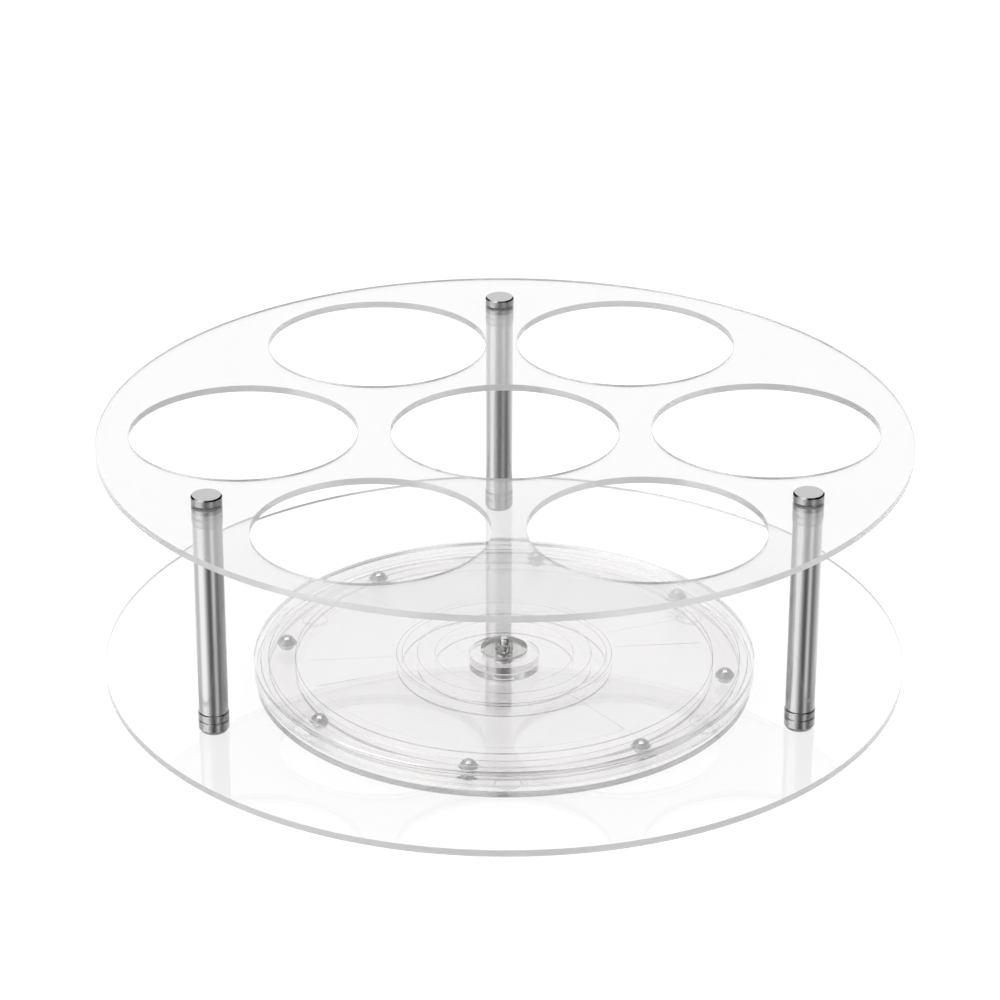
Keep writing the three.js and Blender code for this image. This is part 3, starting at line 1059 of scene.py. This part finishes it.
class RACK_OT_pivot_sleeve(bpy.types.Operator):
    """Mould the nylon sleeve that the rotor turns on, and the washer over it"""

    bl_idname = "rack.pivot_sleeve"
    bl_label = "Pivot Sleeve and Washer"

    def execute(self, context):
        settings = context.scene.rack_pivot
        nylon = natural_nylon(settings)
        for node, name in (("pivot_bushing", "axle_sleeve"), ("pivot_washer", "axle_washer")):
            low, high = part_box(node)
            profile = ring_profile(settings.bore_radius, high.x, low.z, high.z)
            piece = turned(name, profile, settings.segments)
            ease_edges(piece, width=0.25 * MM, segments=3)
            even_shading(piece)
            finish_piece(piece, node, "base", "clear_nylon", nylon)
        return {"FINISHED"}


class RACK_OT_pivot_nut(bpy.types.Operator):
    """Mould the hexagon nut that holds the pivot together"""

    bl_idname = "rack.pivot_nut"
    bl_label = "Pivot Nut"

    def execute(self, context):
        settings = context.scene.rack_pivot
        low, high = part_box("pivot_nut")
        nut = rod("axle_nut", high.x, low.z, high.z, HEXAGON)
        # The circle starts its corners at Y, and the nut has one at X.
        nut.rotation_euler.z = math.radians(30)
        bpy.ops.object.transform_apply(location=True, rotation=True, scale=True)
        below, above = low.z - OVERSHOOT, high.z + OVERSHOOT
        cut_out(nut, [rod("bore", settings.bore_radius, below, above, SMALL_HOLE_SEGMENTS)])
        ease_edges(nut, width=0.3 * MM, segments=3)
        even_shading(nut)
        nylon = natural_nylon(settings)
        finish_piece(nut, "pivot_nut", "base", "clear_nylon", nylon)
        return {"FINISHED"}


class RACK_OT_feet(bpy.types.Operator):
    """Mould the six thin rubber feet"""

    bl_idname = "rack.feet"
    bl_label = "Rubber Feet"

    def execute(self, context):
        settings = context.scene.rack_pivot
        low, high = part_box("rubber_foot_1")
        radius = (high.x - low.x) / 2
        rounding = settings.foot_round
        profile = [
            (radius - 2 * rounding, low.z),
            (radius - rounding, low.z),
            (radius, low.z + rounding),
            (radius, high.z - rounding / 2),
            (radius - rounding / 2, high.z),
            (radius - 2 * rounding, high.z),
        ]
        foot = turned("foot", profile, settings.segments)
        ease_edges(foot, width=0.15 * MM, segments=2, from_angle=math.radians(25))
        even_shading(foot)
        rubber = clear_rubber(settings)
        place_like(foot, "rubber_foot", "foot_pad", "base", "foot_rubber", rubber)
        return {"FINISHED"}


# ---------------------------------------------------------------- stage

# How bright the studio walls are round the rack, by angle from straight ahead of the camera:
# softboxes at the front left and behind, dark gaps between them.
WALL_LIGHT = [
    (-180, 1.25),
    (-145, 1.2),
    (-112, 0.9),
    (-92, 1.0),
    (-78, 1.7),
    (-46, 1.7),
    (-28, 0.85),
    (-12, 0.24),
    (4, 0.08),
    (18, 0.32),
    (28, 1.05),
    (40, 1.0),
    (52, 0.3),
    (70, 0.22),
    (86, 0.6),
    (108, 0.85),
    (132, 1.25),
    (150, 1.2),
    (180, 1.25),
]


def faded(tree, value, start, end):
    """0 to 1 as the value goes from start to end, and level beyond both."""
    down = start > end
    inputs = {
        "Value": value,
        "From Min": min(start, end),
        "From Max": max(start, end),
        "To Min": 1.0 if down else 0.0,
        "To Max": 0.0 if down else 1.0,
    }
    node = add_node(tree, "ShaderNodeMapRange", inputs, interpolation_type="SMOOTHSTEP")
    return node.outputs["Result"]


def studio_world(settings):
    """Even soft light on every surface, with softboxes and dark gaps for shiny ones to show."""
    world = bpy.data.worlds.new("Soft studio")
    bpy.context.scene.world = world
    world.use_nodes = True
    world.cycles.sampling_method = "NONE"
    tree = world.node_tree
    tree.nodes.clear()

    def product(first, second):
        return calculate(tree, "MULTIPLY", first, second)

    # The direction that the light comes from: X to the right, Y to the back, Z up.
    place = add_node(tree, "ShaderNodeTexCoord")
    axes = add_node(tree, "ShaderNodeSeparateXYZ", {"Vector": place.outputs["Generated"]})
    x, y, z = axes.outputs
    around = calculate(tree, "ARCTAN2", x, product(y, -1.0))
    inputs = {"Value": around, "From Min": -math.pi, "From Max": math.pi}
    share = add_node(tree, "ShaderNodeMapRange", inputs)
    walls = add_node(tree, "ShaderNodeValToRGB", {"Fac": share.outputs["Result"]})
    ramp = walls.color_ramp
    brightest = max(light for _, light in WALL_LIGHT)
    while len(ramp.elements) < len(WALL_LIGHT):
        ramp.elements.new(0.5)
    for element, (degrees, light) in zip(ramp.elements, WALL_LIGHT):
        element.position = degrees / 360 + 0.5
        element.color = (light / brightest,) * 3 + (1,)
    # Above the rack the studio is dark, apart from the front left softbox.
    front_left = product(faded(tree, x, -0.05, -0.3), faded(tree, y, 0.35, 0.1))
    lit = calculate(tree, "MAXIMUM", front_left, faded(tree, z, 0.05, -0.1))
    wall_light = product(product(walls.outputs["Color"], brightest), lit)
    # A softbox leans over the rack from behind.
    sideways = calculate(tree, "ABSOLUTE", x)
    rear = product(faded(tree, z, 0.05, 0.25), faded(tree, sideways, 0.5, 0.38))
    rear = product(rear, faded(tree, y, 0.1, 0.5))
    walls_and_softbox = mixed(tree, rear, wall_light, settings.softbox_light)
    # A small lamp hangs overhead.
    lamp = product(faded(tree, z, 0.88, 0.94), faded(tree, y, -0.33, -0.15))
    seen = calculate(tree, "ADD", walls_and_softbox, product(lamp, settings.lamp_light))
    # What shows through the clear edges has gathered light from all round, so it is evened out.
    path = add_node(tree, "ShaderNodeLightPath")
    inputs = {"Value": path.outputs["Glossy Depth"], "From Min": 1.0, "From Max": 4.0}
    deep = add_node(tree, "ShaderNodeMapRange", inputs)
    evened = product(deep.outputs["Result"], settings.edge_evenness)
    shown = mixed(tree, evened, seen, settings.edge_light)
    # The camera and matt surfaces get the plain dome.
    matt, direct = path.outputs["Diffuse Depth"], path.outputs["Is Camera Ray"]
    soft = calculate(tree, "ADD", matt, direct, use_clamp=True)
    strength = mixed(tree, soft, shown, settings.dome_light)
    light = add_node(tree, "ShaderNodeBackground", {"Strength": strength})
    add_node(tree, "ShaderNodeOutputWorld", {"Surface": light.outputs["Background"]})


def light_table(settings):
    """The top of a light table, opal white: matt, lit softly from below."""
    inputs = {
        "Base Color": (*settings.floor_colour, 1),
        "Roughness": 0.9,
        "Specular IOR Level": 0.0,
        "Emission Color": (1, 1, 1, 1),
        "Emission Strength": settings.table_light,
    }
    material, tree, shader = new_material("Opal light table", inputs)
    add_bump(tree, shader, mottle(tree, 3 * MM), 0.01 * MM, 0.5)
    # Reflections look past the table at the studio walls, so that metal isn't all white.
    path = add_node(tree, "ShaderNodeLightPath")
    reflected = calculate(tree, "GREATER_THAN", path.outputs["Glossy Depth"], 0.5)
    past = add_node(tree, "ShaderNodeBsdfTransparent")
    inputs = {0: reflected, 1: shader.outputs["BSDF"], 2: past.outputs["BSDF"]}
    either = add_node(tree, "ShaderNodeMixShader", inputs)
    tree.links.new(either.outputs["Shader"], tree.nodes["Output"].inputs["Surface"])
    return material


def swung(first, second, by):
    """Both directions after a turn in their plane, which takes the first away from the second."""
    cosine, sine = math.cos(by), math.sin(by)
    return first * cosine - second * sine, second * cosine + first * sine


def aimed_camera(settings):
    """The camera, from its angles round the middle of the upper deck's top."""
    _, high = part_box("upper_deck")
    target = Vector((0, 0, high.z))
    turn, lift = settings.azimuth, settings.elevation
    out = Vector(
        (math.sin(turn) * math.cos(lift), -math.cos(turn) * math.cos(lift), math.sin(lift))
    )
    ahead = -out
    right = ahead.cross(Vector((0, 0, 1))).normalized()
    up = right.cross(ahead)
    ahead, right = swung(ahead, right, settings.aim_left)
    ahead, up = swung(ahead, up, settings.aim_down)
    up, right = swung(up, right, settings.roll)
    camera = bpy.data.objects.new("Camera", bpy.data.cameras.new("Camera"))
    camera.data.sensor_width = settings.sensor / MM
    camera.data.lens = settings.lens / MM
    camera.data.clip_end = 100
    turned_frame = Matrix((right, up, -ahead)).transposed().to_4x4()
    camera.matrix_world = Matrix.Translation(target + out * settings.distance) @ turned_frame
    bpy.context.scene.collection.objects.link(camera)
    bpy.context.scene.camera = camera


class RACK_OT_stage(bpy.types.Operator):
    """Lay the pale floor, hang the soft light and set up the camera"""

    bl_idname = "rack.stage"
    bl_label = "Floor, Light and Camera"

    def execute(self, context):
        settings = context.scene.rack_stage
        bpy.ops.object.select_all(action="DESELECT")
        bpy.ops.mesh.primitive_plane_add(size=settings.floor_size, location=(0, 0, 0))
        floor = bpy.context.active_object
        floor.name = "pale_floor"
        floor.data.materials.append(light_table(settings))
        studio_world(settings)
        aimed_camera(settings)
        context.scene.view_settings.view_transform = "Standard"
        # Light passes many faces in a row inside the stacked clear discs.
        context.scene.cycles.max_bounces = 64
        context.scene.cycles.transmission_bounces = 32
        context.scene.cycles.glossy_bounces = 48
        return {"FINISHED"}


# ---------------------------------------------------------------- panel and registration

OPERATORS = [
    RACK_OT_upper_deck,
    RACK_OT_lower_deck,
    RACK_OT_post_tubes,
    RACK_OT_post_collars,
    RACK_OT_post_caps,
    RACK_OT_foot_screws,
    RACK_OT_rotor,
    RACK_OT_stator,
    RACK_OT_cage,
    RACK_OT_balls,
    RACK_OT_pivot_screw,
    RACK_OT_pivot_sleeve,
    RACK_OT_pivot_nut,
    RACK_OT_feet,
    RACK_OT_stage,
]

SETTINGS = {
    "rack_decks": DeckSettings,
    "rack_posts": PostSettings,
    "rack_bearing": BearingSettings,
    "rack_pivot": PivotSettings,
    "rack_stage": StageSettings,
}


class RACK_PT_turntable(bpy.types.Panel):
    """The sizes, colours and pieces of the turntable"""

    bl_idname = "RACK_PT_turntable"
    bl_label = "Lazy Susan Turntable"
    bl_space_type = "VIEW_3D"
    bl_region_type = "UI"
    bl_category = "Turntable"

    def draw(self, context):
        for operator in OPERATORS:
            self.layout.operator(operator.bl_idname)
        for attribute, group in SETTINGS.items():
            box = self.layout.box()
            box.label(text=group.__doc__)
            for name in group.__annotations__:
                box.prop(getattr(context.scene, attribute), name)


def register():
    for group in SETTINGS.values():
        bpy.utils.register_class(group)
    for attribute, group in SETTINGS.items():
        setattr(bpy.types.Scene, attribute, bpy.props.PointerProperty(type=group))
    for operator in OPERATORS:
        bpy.utils.register_class(operator)
    bpy.utils.register_class(RACK_PT_turntable)


def unregister():
    bpy.utils.unregister_class(RACK_PT_turntable)
    for operator in reversed(OPERATORS):
        bpy.utils.unregister_class(operator)
    for attribute, group in SETTINGS.items():
        delattr(bpy.types.Scene, attribute)
        bpy.utils.unregister_class(group)


def main():
    register()
    for operator in OPERATORS:
        group, name = operator.bl_idname.split(".")
        getattr(getattr(bpy.ops, group), name)()


if __name__ == "__main__":
    main()
